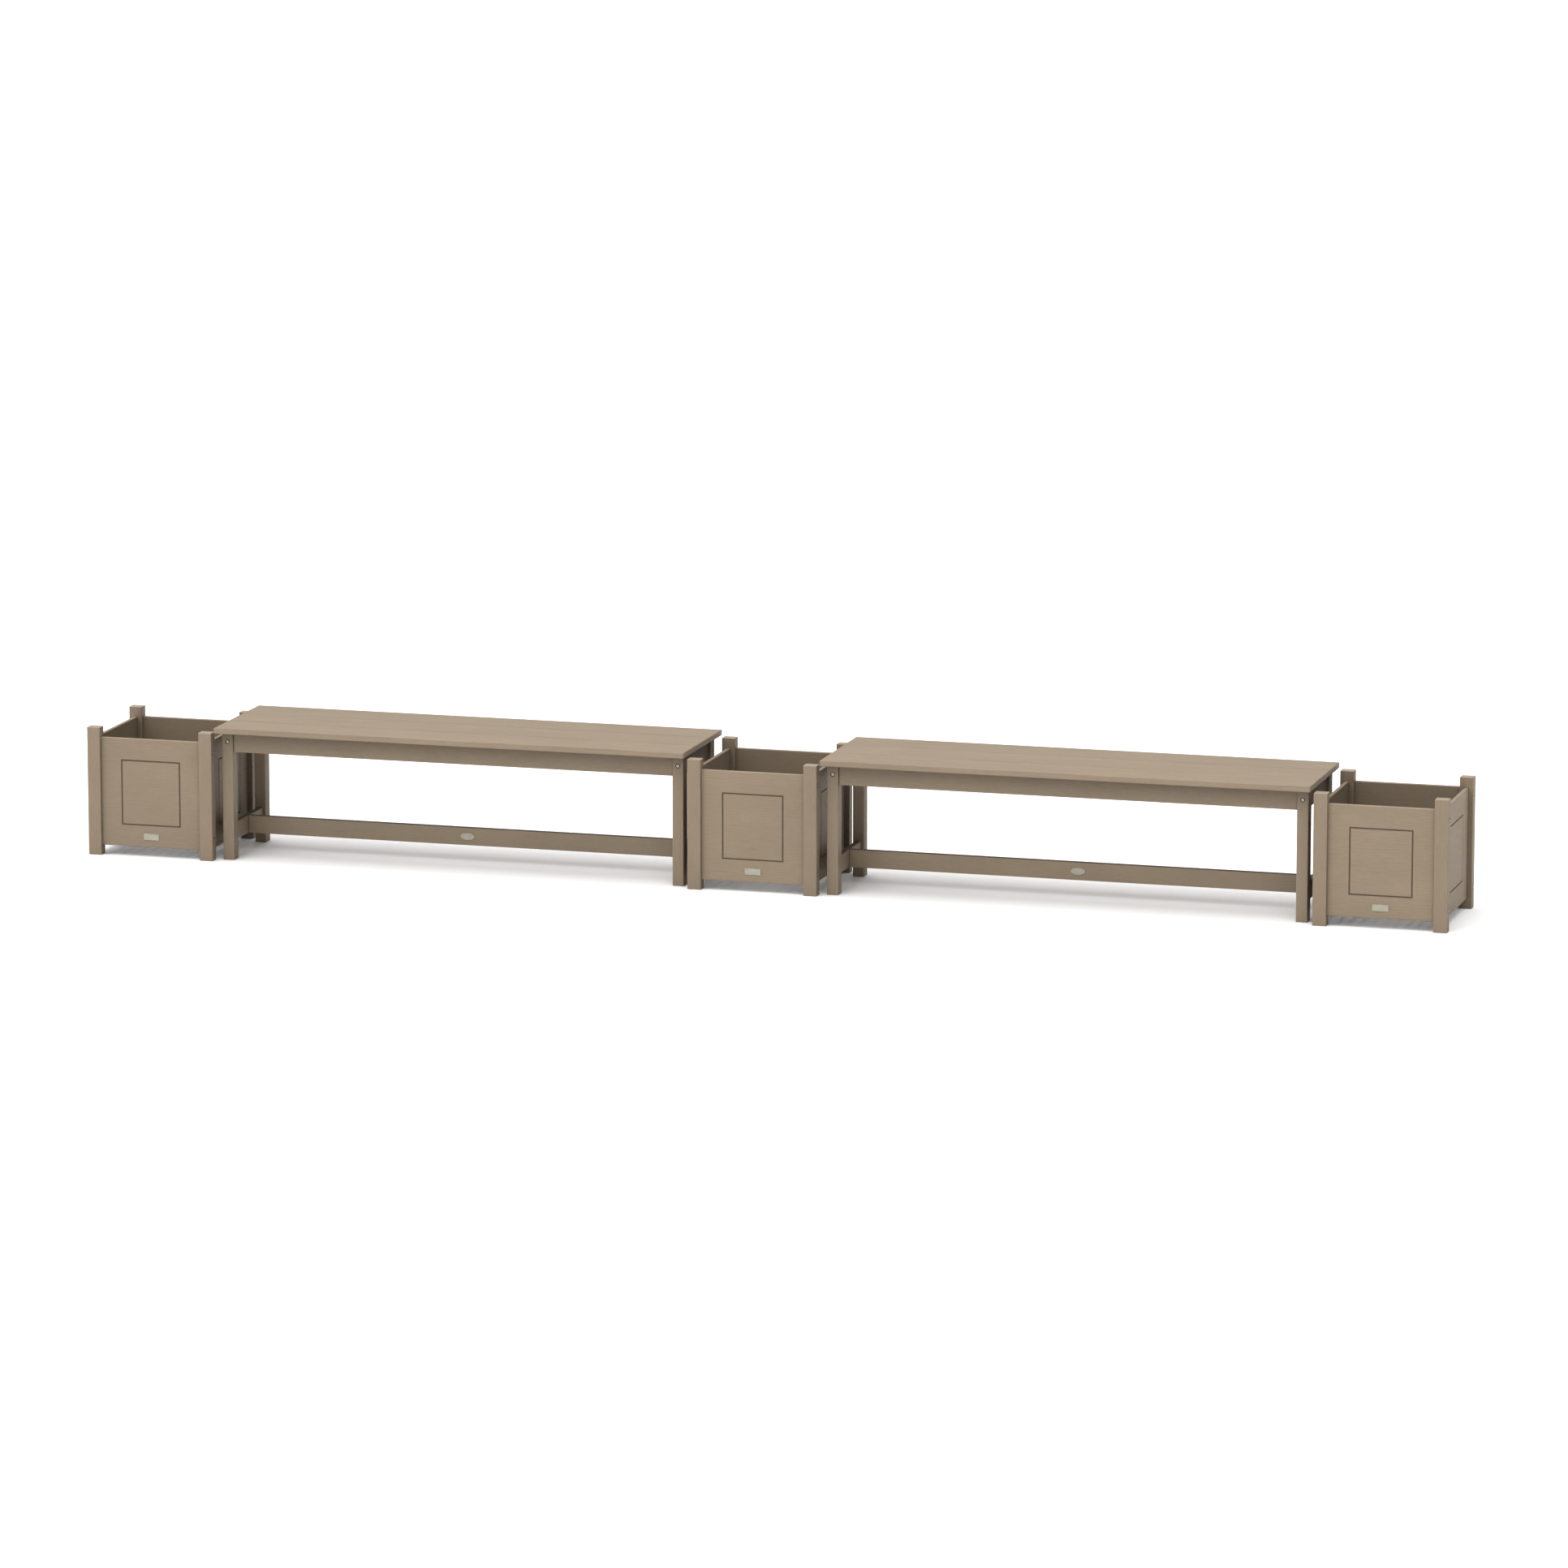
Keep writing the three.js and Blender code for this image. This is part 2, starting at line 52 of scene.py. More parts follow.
# Lumber
EDGE_RADIUS = 0.003
END_RADIUS = 0.002
EDGE_STEPS = 4
END_STEPS = 3
FIT_GAP = 0.0003
CUT_OVERRUN = 0.002
MERGE_GAP = FIT_GAP / 100
SHARP_ANGLE = math.radians(35)

# Tone of upright boards, and painted shade on the panels' inner faces, beside 1 for the rest
UPRIGHT_TONE = 0.955
INSIDE_SHADE_TONE = 0.88

# Planter joints
PANEL_HOUSING = 0.006
ROUTED_WIDTH = 0.206
ROUTED_HEIGHT = 0.219
ROUTED_LINE = 0.005
ROUTED_DEPTH = 0.003
ROUTED_FLARE = 0.0004
ROUTED_STEPS = 6
FLOOR_HOUSING = 0.004
DRAIN_COUNT = 11
DRAIN_WIDTH = 0.014
DRAIN_MARGIN = 0.034
DRAIN_CHAMFER = 0.0012
DRAIN_STEPS = 6
LOWER_BOLT_INSET = 0.039
UPPER_BOLT_INSET = 0.034

# Bench joints
PLANK_COUNT = 3
PLANK_GAP = 0.0005
BATTEN_COUNT = 3
BATTEN_WIDTH = 0.060
TENON_LENGTH = 0.012
TENON_SHOULDER = 0.004
STUB_TENON_LENGTH = 0.008
END_BOLT_DROP = 0.033
LONG_BOLT_DROP = 0.044

# Bolts
BOLT_REACH = 0.060
SHANK_RADIUS = 0.0032
HEAD_RADIUS = 0.0056
HEAD_PROUD = 0.002
DOME_HEIGHT = 0.0014
COUNTERBORE_RADIUS = 0.0078
COUNTERBORE_DEPTH = 0.0025
COUNTERBORE_CHAMFER = 0.0005
SOCKET_RADIUS = 0.0023
SOCKET_DEPTH = 0.0024
TIP_CHAMFER = 0.0012
TURN_SIDES = 24
DOME_STEPS = 5

# Plates
PLATE_CORNER = 0.003
PLATE_RIM = 0.0016
PLATE_RECESS = 0.0004
PLATE_EDGE = 0.0004
PLATE_STEPS = 6
BADGE_SIDES = 48

# Camera, solved from the straight edges of the five units
IMAGE_SIZE = 1932
FOCAL_PIXELS = 9977.4
SENSOR_WIDTH = 36
CAMERA_PLACE = (7.3641, -25.3162, 5.3934)
CAMERA_PITCH = math.radians(10.881)
CAMERA_YAW = math.radians(16.1197)
CLIP_END = 500

# Floor
FLOOR_REACH = 150
FLOOR_CELLS = 8
FLOOR_COLOUR = (0.94, 0.94, 0.94, 1)

# Light: strengths from all round, overhead, in front and on the left
DOME_ALL_ROUND = 0.72
DOME_OVERHEAD = 2.55
DOME_POWER = 3
DOME_FRONT = 1.28
DOME_LEFT = 0.66
DOME_COLOUR = (1, 1, 1, 1)

# Each board draws a seed, which shifts its grain and its tone
DRAW_START = 11
SEED_SPAN = 40
rng = random.Random(DRAW_START)


# Mesh building

# A mesh object from a bmesh, with the bmesh freed
def make_object(name, bm):
    bmesh.ops.recalc_face_normals(bm, faces=bm.faces)
    mesh = bpy.data.meshes.new(name)
    bm.to_mesh(mesh)
    bm.free()
    piece = bpy.data.objects.new(name, mesh)
    bpy.context.scene.collection.objects.link(piece)
    return piece


# A closed body lofted through rings that have the same number of points
def loft(name, rings):
    bm = bmesh.new()
    loops = [[bm.verts.new(point) for point in ring] for ring in rings]
    count = len(loops[0])
    for first, second in zip(loops, loops[1:]):
        for i in range(count):
            j = (i + 1) % count
            bm.faces.new((first[i], first[j], second[j], second[i]))
    bm.faces.new(loops[0])
    bm.faces.new(loops[-1])
    return make_object(name, bm)


# The outline of a rectangle with rounded corners
def rounded_rectangle(width, height, radius, steps):
    points = []
    for quarter, (sx, sy) in enumerate(((1, 1), (-1, 1), (-1, -1), (1, -1))):
        for step in range(steps + 1):
            angle = (quarter + step / steps) * math.pi / 2
            x = sx * (width / 2 - radius) + radius * math.cos(angle)
            y = sy * (height / 2 - radius) + radius * math.sin(angle)
            points.append((x, y))
    return points


# Turns a board's own frame, whose X runs along the grain, to a world axis
GRAIN_TURN = {
    "x": Matrix.Identity(3),
    "y": Matrix.Rotation(math.pi / 2, 3, "Z"),
    "z": Matrix.Rotation(-math.pi / 2, 3, "Y"),
}


# A board between two corners, with every edge rounded and its grain along an axis
def board(name, low, high, grain):
    low, high = Vector(low), Vector(high)
    turn = GRAIN_TURN[grain]
    size = turn.transposed() @ (high - low)
    length, across, depth = (abs(value) for value in size)
    rings = []
    for side in (-1, 1):
        steps = range(END_STEPS + 1) if side < 0 else range(END_STEPS, -1, -1)
        for step in steps:
            angle = step / END_STEPS * math.pi / 2
            inset = END_RADIUS * (1 - math.sin(angle))
            x = side * (length / 2 - END_RADIUS * (1 - math.cos(angle)))
            width, height = across - 2 * inset, depth - 2 * inset
            section = rounded_rectangle(width, height, EDGE_RADIUS - inset, EDGE_STEPS)
            rings.append([(x, y, z) for y, z in section])
    piece = loft(name, rings)
    centre = (low + high) / 2
    piece.data.transform(Matrix.Translation(centre) @ turn.to_4x4())
    piece["grain"] = grain
    piece["centre"] = list(centre)
    piece["half"] = [length / 2, across / 2, depth / 2]
    return piece


# A plain block between two corners, for cutting
def block(low, high):
    bm = bmesh.new()
    bmesh.ops.create_cube(bm, size=1)
    size = Vector(high) - Vector(low)
    centre = (Vector(high) + Vector(low)) / 2
    bmesh.ops.scale(bm, vec=size, verts=bm.verts)
    bmesh.ops.translate(bm, vec=centre, verts=bm.verts)
    return make_object("cutter", bm)


# Turns a body that points along +Z to an axis, and moves its origin to a point
def aim(piece, at, axis):
    turn = Vector((0, 0, 1)).rotation_difference(Vector(axis)).to_matrix().to_4x4()
    piece.data.transform(Matrix.Translation(Vector(at)) @ turn)
    return piece


# A circle of points about +Z
TURN_ANGLES = [2 * math.pi * side / TURN_SIDES for side in range(TURN_SIDES)]


def ring(radius, height):
    return [(radius * math.cos(a), radius * math.sin(a), height) for a in TURN_ANGLES]


# Cuts bodies out of a piece, or joins them to it, and deletes them
def combine(piece, others, operation):
    for other in others:
        modifier = piece.modifiers.new("combine", "BOOLEAN")
        modifier.operation = operation
        modifier.solver = "MANIFOLD"
        modifier.object = other
    bpy.context.view_layer.update()
    graph = bpy.context.evaluated_depsgraph_get()
    mesh = bpy.data.meshes.new_from_object(piece.evaluated_get(graph))
    piece.modifiers.clear()
    old = piece.data
    piece.data = mesh
    bpy.data.meshes.remove(old)
    for other in others:
        bpy.data.meshes.remove(other.data)
    return piece


def cut(piece, others):
    return combine(piece, others, "DIFFERENCE")


def join(piece, others):
    return combine(piece, others, "UNION")


# Smooth shading with sharp creases, for the final mesh of a piece
def finish_mesh(piece):
    bm = bmesh.new()
    bm.from_mesh(piece.data)
    bmesh.ops.remove_doubles(bm, verts=bm.verts, dist=MERGE_GAP)
    bmesh.ops.dissolve_degenerate(bm, edges=bm.edges, dist=MERGE_GAP)
    bm.to_mesh(piece.data)
    bm.free()
    piece.data.polygons.foreach_set("use_smooth", [True] * len(piece.data.polygons))
    piece.data.set_sharp_from_angle(angle=SHARP_ANGLE)
    weighted = piece.modifiers.new("flat faces stay flat", "WEIGHTED_NORMAL")
    weighted.keep_sharp = True


# Gives each vertex what the lumber reads: its place in the board's own frame, for the grain and
# the wear, and the board's half sizes, seed, kind and tone. The tone is darker on the panels'
# inner faces, as painted shade
def mark_board(piece, seed):
    turn = GRAIN_TURN[piece["grain"]].transposed()
    centre = Vector(piece["centre"])
    inward = Vector(piece.get("inward", (0, 0, 0)))
    board_tone = UPRIGHT_TONE if piece["grain"] == "z" else 1.0
    places, tones_and_shade = [], []
    for vertex in piece.data.vertices:
        offset = vertex.co - centre
        places.extend(turn @ offset)
        # The panels' inner faces get a darker tone: painted shade
        tones_and_shade.append(INSIDE_SHADE_TONE if offset.dot(inward) > 0 else board_tone)
    halves = list(piece["half"]) * len(piece.data.vertices)
    seeds = [seed] * len(piece.data.vertices)
    seams = [float("seam" in piece)] * len(piece.data.vertices)
    shelters = [float("sheltered" in piece)] * len(piece.data.vertices)
    for name, kind, field, values in (
        ("board_place", "FLOAT_VECTOR", "vector", places),
        ("board_half", "FLOAT_VECTOR", "vector", halves),
        ("board_seed", "FLOAT", "value", seeds),
        ("board_seam", "FLOAT", "value", seams),
        ("board_shelter", "FLOAT", "value", shelters),
        ("board_tone", "FLOAT", "value", tones_and_shade),
    ):
        layer = piece.data.attributes.new(name, kind, "POINT")
        layer.data.foreach_set(field, values)


# Bolts and what receives them

# The hole for a bolt's shank and head, bored from a point on a face against an axis that
# looks out of it
def bolt_bore(at, axis):
    shank = SHANK_RADIUS + FIT_GAP
    mouth = COUNTERBORE_RADIUS + COUNTERBORE_CHAMFER
    return aim(loft("cutter", [
        ring(shank, -BOLT_REACH - FIT_GAP),
        ring(shank, -COUNTERBORE_DEPTH),
        ring(COUNTERBORE_RADIUS, -COUNTERBORE_DEPTH),
        ring(COUNTERBORE_RADIUS, -COUNTERBORE_CHAMFER),
        ring(mouth, 0),
        ring(mouth, CUT_OVERRUN),
    ]), at, axis)


# The point of a hexagon's outline at an angle, from the hexagon's corner radius
def hexagon_point(radius, angle):
    half_side = math.pi / 6
    within = (angle + half_side) % (2 * half_side) - half_side
    reach = radius * math.cos(half_side) / math.cos(half_side - abs(within))
    return reach * math.cos(angle), reach * math.sin(angle)


# A steel bolt with a low domed head and a hexagonal drive socket
def bolt(name, at, axis):
    shoulder = HEAD_PROUD - DOME_HEIGHT
    socket_top = HEAD_PROUD - DOME_HEIGHT * (SOCKET_RADIUS / HEAD_RADIUS) ** 2
    socket_floor = HEAD_PROUD - SOCKET_DEPTH
    profile = [
        (SHANK_RADIUS - TIP_CHAMFER, -BOLT_REACH),
        (SHANK_RADIUS, -BOLT_REACH + TIP_CHAMFER),
        (SHANK_RADIUS, -COUNTERBORE_DEPTH + FIT_GAP),
        (HEAD_RADIUS - FIT_GAP, -COUNTERBORE_DEPTH + FIT_GAP),
        (HEAD_RADIUS, -COUNTERBORE_DEPTH + 2 * FIT_GAP),
        (HEAD_RADIUS, shoulder - FIT_GAP),
    ]
    for step in range(1, DOME_STEPS + 1):
        share = step / DOME_STEPS
        radius = HEAD_RADIUS - share * (HEAD_RADIUS - SOCKET_RADIUS - FIT_GAP)
        profile.append((radius, HEAD_PROUD - DOME_HEIGHT * (radius / HEAD_RADIUS) ** 2))
    rings = [ring(radius, height) for radius, height in profile]
    for height in (socket_top, socket_top - FIT_GAP, socket_floor):
        rings.append([(*hexagon_point(SOCKET_RADIUS, a), height) for a in TURN_ANGLES])
    tip = SOCKET_RADIUS / 2
    rings.append(ring(tip, socket_floor - tip / 2))
    return aim(loft(name, rings), at, axis)


# Narrows a box along an axis to its board: the bolt stands out of the outer face and runs past
# the inner one
def trim_bolt(low, high, axis, side, inner):
    if side > 0:
        high[axis] -= HEAD_PROUD
        low[axis] = inner
    else:
        low[axis] += HEAD_PROUD
        high[axis] = inner


# Pieces of a planter and of a bench. Each is listed with the node that it replaces and its
# material slot, or with None for what the part joins to another piece.

# The inner corner of a post, from the ends of the two panels that it houses
def post_inner(unit, sx, sy):
    housed = PANEL_HOUSING - FIT_GAP
    front_low, front_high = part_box(f"{unit}_front_panel")
    side_low, side_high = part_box(f"{unit}_left_panel")
    x = front_high.x - housed if sx > 0 else front_low.x + housed
    y = side_high.y - housed if sy > 0 else side_low.y + housed
    return x, y


# The body that routs the thin rectangle into a panel's face, which looks along -Y
def routed_cutter(centre, face_y):
    half = ROUTED_LINE / 2
    mouth = half + ROUTED_FLARE
    profile = [(mouth, CUT_OVERRUN), (mouth, 0), (half, -ROUTED_FLARE)]
    for step in range(ROUTED_STEPS + 1):
        angle = step / ROUTED_STEPS * math.pi
        profile.append((half * math.cos(angle), -ROUTED_DEPTH + half * (1 - math.sin(angle))))
    profile += [(-half, -ROUTED_FLARE), (-mouth, 0), (-mouth, CUT_OVERRUN)]
    bm = bmesh.new()
    loops = []
    for sx, sz in ((1, 1), (-1, 1), (-1, -1), (1, -1)):
        loop = []
        for across, out in profile:
            x = centre.x + sx * (ROUTED_WIDTH / 2 + across)
            z = centre.z + sz * (ROUTED_HEIGHT / 2 + across)
            loop.append(bm.verts.new((x, face_y - out, z)))
        loops.append(loop)
    count = len(profile)
    for corner in range(len(loops)):
        first, second = loops[corner], loops[(corner + 1) % len(loops)]
        for i in range(count):
            j = (i + 1) % count
            bm.faces.new((first[i], first[j], second[j], second[i]))
    return make_object("cutter", bm)


# A post with grooves for its two panels, and its two bolts
def planter_post(unit, row, sy, end, sx):
    node = f"{unit}_{row}_{end}_post"
    low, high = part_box(node)
    trim_bolt(low, high, 0, sx, post_inner(unit, sx, sy)[0])
    centre = (low + high) / 2
    panel_low, panel_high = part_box(f"{unit}_{row}_panel")
    thickness = panel_high.y - panel_low.y
    groove = thickness / 2 + FIT_GAP
    foot, head = panel_low.z - FIT_GAP, panel_high.z + FIT_GAP
    inner_x = centre.x - sx * ((high.x - low.x) / 2 - PANEL_HOUSING)
    open_x = centre.x - sx * ((high.x - low.x) / 2 + CUT_OVERRUN)
    inner_y = centre.y - sy * ((high.y - low.y) / 2 - PANEL_HOUSING)
    open_y = centre.y - sy * ((high.y - low.y) / 2 + CUT_OVERRUN)
    cutters = [
        block(
            (min(inner_x, open_x), centre.y - groove, foot),
            (max(inner_x, open_x), centre.y + groove, head),
        ),
        block(
            (centre.x - groove, min(inner_y, open_y), foot),
            (centre.x + groove, max(inner_y, open_y), head),
        ),
    ]
    bolts = []
    face_x = high.x if sx > 0 else low.x
    heights = (panel_low.z + LOWER_BOLT_INSET, panel_high.z - UPPER_BOLT_INSET)
    for count, z in enumerate(heights, 1):
        at = (face_x, centre.y, z)
        cutters.append(bolt_bore(at, (sx, 0, 0)))
        bolts.append((bolt(f"{node}_bolt_{count}", at, (sx, 0, 0)), None, None))
    piece = cut(board(f"{node}_board", low, high, "z"), cutters)
    return [(piece, node, "lumber"), *bolts]


# A panel, made as the front one and turned into its place
def planter_panel(unit, name, angle):
    node = f"{unit}_{name}_panel"
    low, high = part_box(node)
    centre = (low + high) / 2
    turn = Matrix.Translation(centre) @ Matrix.Rotation(angle, 4, "Z") @ Matrix.Translation(-centre)
    size = high - low
    length, thickness = max(size.x, size.y), min(size.x, size.y)
    half = Vector((length / 2, thickness / 2, size.z / 2))
    floor_low, floor_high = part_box(f"{unit}_floor")
    reach, inner_y = half.x + CUT_OVERRUN, centre.y + half.y
    cutters = [
        routed_cutter(centre, centre.y - half.y),
        block(
            (centre.x - reach, inner_y - FLOOR_HOUSING, floor_low.z - FIT_GAP),
            (centre.x + reach, inner_y + CUT_OVERRUN, floor_high.z + FIT_GAP),
        ),
    ]
    if name in dict(ROWS):
        post_low, post_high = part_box(f"{unit}_{name}_left_post")
        face = abs(post_low.x - centre.x) - HEAD_PROUD
        for side in (-1, 1):
            for z in (low.z + LOWER_BOLT_INSET, high.z - UPPER_BOLT_INSET):
                cutters.append(bolt_bore((centre.x + side * face, centre.y, z), (side, 0, 0)))
    piece = board(f"{node}_board", centre - half, centre + half, "x")
    cut(piece, cutters)
    piece.data.transform(turn)
    piece["grain"] = "x" if size.x > size.y else "y"
    piece["inward"] = list(turn.to_3x3() @ Vector((0, 1, 0)))
    return [(piece, node, "lumber")]


# The floor, notched round the posts, with slots that the rain drains through
def planter_floor(unit):
    node = f"{unit}_floor"
    low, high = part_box(node)
    centre = (low + high) / 2
    cutters = []
    for row, sy in ROWS:
        for end, sx in SIDES:
            inner_x, inner_y = post_inner(unit, sx, sy)
            inner_x -= sx * FIT_GAP
            inner_y -= sy * FIT_GAP
            outer_x = (high.x if sx > 0 else low.x) + sx * CUT_OVERRUN
            outer_y = (high.y if sy > 0 else low.y) + sy * CUT_OVERRUN
            cutters.append(block(
                (min(inner_x, outer_x), min(inner_y, outer_y), low.z - CUT_OVERRUN),
                (max(inner_x, outer_x), max(inner_y, outer_y), high.z + CUT_OVERRUN),
            ))
    pitch = (high.x - low.x) / (DRAIN_COUNT + 1)
    length = high.y - low.y - 2 * DRAIN_MARGIN
    for drain in range(DRAIN_COUNT):
        x = centre.x + (drain - (DRAIN_COUNT - 1) / 2) * pitch
        rings = []
        for grow, z in (
            (DRAIN_CHAMFER, low.z - CUT_OVERRUN),
            (DRAIN_CHAMFER, low.z),
            (0, low.z + DRAIN_CHAMFER),
            (0, high.z - DRAIN_CHAMFER),
            (DRAIN_CHAMFER, high.z),
            (DRAIN_CHAMFER, high.z + CUT_OVERRUN),
        ):
            width = DRAIN_WIDTH + 2 * grow
            outline = rounded_rectangle(width, length + 2 * grow, width / 2, DRAIN_STEPS)
            rings.append([(x + dx, centre.y + dy, z) for dx, dy in outline])
        cutters.append(loft("cutter", rings))
    piece = cut(board(f"{node}_board", low, high, "x"), cutters)
    return [(piece, node, "lumber")]


# A blank plate with a raised rim, from an outline, in the box of its node and looking along -Y
def rimmed_plate(node, outline):
    low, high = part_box(node)
    centre = (low + high) / 2
    width, height, thickness = high.x - low.x, high.z - low.z, high.y - low.y
    levels = [
        (0, 0),
        (0, thickness - PLATE_EDGE),
        (PLATE_EDGE / 3, thickness - PLATE_EDGE / 3),
        (PLATE_EDGE, thickness),
        (PLATE_RIM, thickness),
        (PLATE_RIM + PLATE_EDGE, thickness - PLATE_RECESS),
    ]
    rings = []
    for inset, out in levels:
        points = outline(width - 2 * inset, height - 2 * inset, inset)
        rings.append([(centre.x + x, high.y - out, centre.z + z) for x, z in points])
    return loft(f"{node}_face", rings)


def plate_outline(width, height, inset):
    return rounded_rectangle(width, height, max(PLATE_CORNER - inset, PLATE_EDGE), PLATE_STEPS)


def badge_outline(width, height, inset):
    angles = [2 * math.pi * side / BADGE_SIDES for side in range(BADGE_SIDES)]
    return [(width / 2 * math.cos(a), height / 2 * math.sin(a)) for a in angles]


def build_planter(unit):
    made = []
    for row, sy in ROWS:
        for end, sx in SIDES:
            made += planter_post(unit, row, sy, end, sx)
    for name, turn in (("front", 0), ("right", 1), ("rear", 2), ("left", -1)):
        made += planter_panel(unit, name, turn * math.pi / 2)
    made += planter_floor(unit)
    plate = f"{unit}_blank_plate"
    made.append((rimmed_plate(plate, plate_outline), plate, "plate"))
    return made


# The planks and the battens that hold them from below
def bench_seat(unit):
    made = []
    first_low, first_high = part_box(f"{unit}_seat_plank_1")
    pitch = first_high.y - first_low.y + PLANK_GAP
    for plank in range(PLANK_COUNT):
        node = f"{unit}_seat_plank_{plank + 1}"
        shift = Vector((0, plank * pitch, 0))
        piece = board(f"{node}_board", first_low + shift, first_high + shift, "x")
        piece["seam"] = True
        made.append((piece, node, "lumber"))
    batten_low, batten_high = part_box(f"{unit}_seat_plank_2")
    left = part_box(f"{unit}_front_left_leg")[1].x
    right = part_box(f"{unit}_front_right_leg")[0].x
    for count in range(1, BATTEN_COUNT + 1):
        x = left + (right - left) * count / (BATTEN_COUNT + 1)
        low = (x - BATTEN_WIDTH / 2, batten_low.y, batten_low.z)
        high = (x + BATTEN_WIDTH / 2, batten_high.y, first_low.z - FIT_GAP)
        made.append((board(f"{unit}_batten_{count}_board", low, high, "y"), None, "lumber"))
    return made


# A leg with a mortise for the end stretcher, and its two bolts
def bench_leg(unit, row, sy, end, sx):
    node = f"{unit}_{row}_{end}_leg"
    low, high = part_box(node)
    apron_low, apron_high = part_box(f"{unit}_{row}_apron")
    end_low, end_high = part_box(f"{unit}_{end}_apron")
    trim_bolt(low, high, 0, sx, apron_high.x + FIT_GAP if sx > 0 else apron_low.x - FIT_GAP)
    trim_bolt(low, high, 1, sy, end_high.y + FIT_GAP if sy > 0 else end_low.y - FIT_GAP)
    centre = (low + high) / 2
    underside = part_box(f"{unit}_seat_plank_1")[0].z
    rail_low, rail_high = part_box(f"{unit}_{end}_stretcher")
    tenon = (rail_high.x - rail_low.x) / 2 - TENON_SHOULDER + FIT_GAP
    outer_x = high.x if sx > 0 else low.x
    inner_y, outer_y = (low.y, high.y) if sy > 0 else (high.y, low.y)
    mortise_y = inner_y + sy * (TENON_LENGTH + FIT_GAP)
    open_y = inner_y - sy * CUT_OVERRUN
    side_at = (outer_x, (apron_low.y + apron_high.y) / 2, underside - LONG_BOLT_DROP)
    face_at = (centre.x, outer_y, underside - END_BOLT_DROP)
    cutters = [
        block(
            (centre.x - tenon, min(mortise_y, open_y), rail_low.z + TENON_SHOULDER - FIT_GAP),
            (centre.x + tenon, max(mortise_y, open_y), rail_high.z - TENON_SHOULDER + FIT_GAP),
        ),
        bolt_bore(side_at, (sx, 0, 0)),
        bolt_bore(face_at, (0, sy, 0)),
    ]
    piece = cut(board(f"{node}_board", low, high, "z"), cutters)
    return [
        (piece, node, "lumber"),
        (bolt(f"{node}_bolt_1", side_at, (sx, 0, 0)), None, None),
        (bolt(f"{node}_bolt_2", face_at, (0, sy, 0)), None, None),
    ]


# The four aprons, bored for the bolts that come through the legs
def bench_aprons(unit):
    made = []
    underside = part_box(f"{unit}_seat_plank_1")[0].z
    for row, sy in ROWS:
        node = f"{unit}_{row}_apron"
        low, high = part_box(node)
        centre = (low + high) / 2
        cutters = []
        for end, sx in SIDES:
            leg_low, leg_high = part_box(f"{unit}_{row}_{end}_leg")
            face = (leg_high.x if sx > 0 else leg_low.x) - sx * HEAD_PROUD
            cutters.append(bolt_bore((face, centre.y, underside - LONG_BOLT_DROP), (sx, 0, 0)))
        made.append((cut(board(f"{node}_board", low, high, "x"), cutters), node, "lumber"))
    for end, sx in SIDES:
        node = f"{unit}_{end}_apron"
        low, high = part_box(node)
        centre = (low + high) / 2
        cutters = []
        for row, sy in ROWS:
            leg_low, leg_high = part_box(f"{unit}_{row}_{end}_leg")
            face = (leg_high.y if sy > 0 else leg_low.y) - sy * HEAD_PROUD
            cutters.append(bolt_bore((centre.x, face, underside - END_BOLT_DROP), (0, sy, 0)))
        made.append((cut(board(f"{node}_board", low, high, "y"), cutters), node, "lumber"))
    return made


# A tenon's block inside a stretcher's box
def tenon_block(low, high, axis):
    shoulder = Vector((TENON_SHOULDER,) * 3)
    shoulder[axis] = 0
    return block(low + shoulder, high - shoulder)


# The end stretchers with tenons into the legs, and the long one with tenons into these
def bench_stretchers(unit):
    made = []
    long_low, long_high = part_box(f"{unit}_long_stretcher")
    for end, sx in SIDES:
        node = f"{unit}_{end}_stretcher"
        low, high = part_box(node)
        shoulder = Vector((0, TENON_LENGTH, 0))
        piece = board(f"{node}_board", low + shoulder, high - shoulder, "y")
        join(piece, [tenon_block(low, high, 1)])
        mortise = tenon_block(long_low, long_high, 0)
        mortise.data.transform(Matrix.Diagonal((1 + FIT_GAP, 1, 1, 1)))
        cut(piece, [mortise])
        made.append((piece, node, "lumber"))
    node = f"{unit}_long_stretcher"
    shoulder = Vector((STUB_TENON_LENGTH, 0, 0))
    piece = board(f"{node}_board", long_low + shoulder, long_high - shoulder, "x")
    join(piece, [tenon_block(long_low, long_high, 0)])
    made.append((piece, node, "lumber"))
    return made


def build_bench(unit):
    made = bench_seat(unit)
    for row, sy in ROWS:
        for end, sx in SIDES:
            made += bench_leg(unit, row, sy, end, sx)
    for rail in bench_aprons(unit) + bench_stretchers(unit):
        rail[0]["sheltered"] = True
        made.append(rail)
    badge = f"{unit}_blank_badge"
    made.append((rimmed_plate(badge, badge_outline), badge, "plate"))
    return made


# Materials

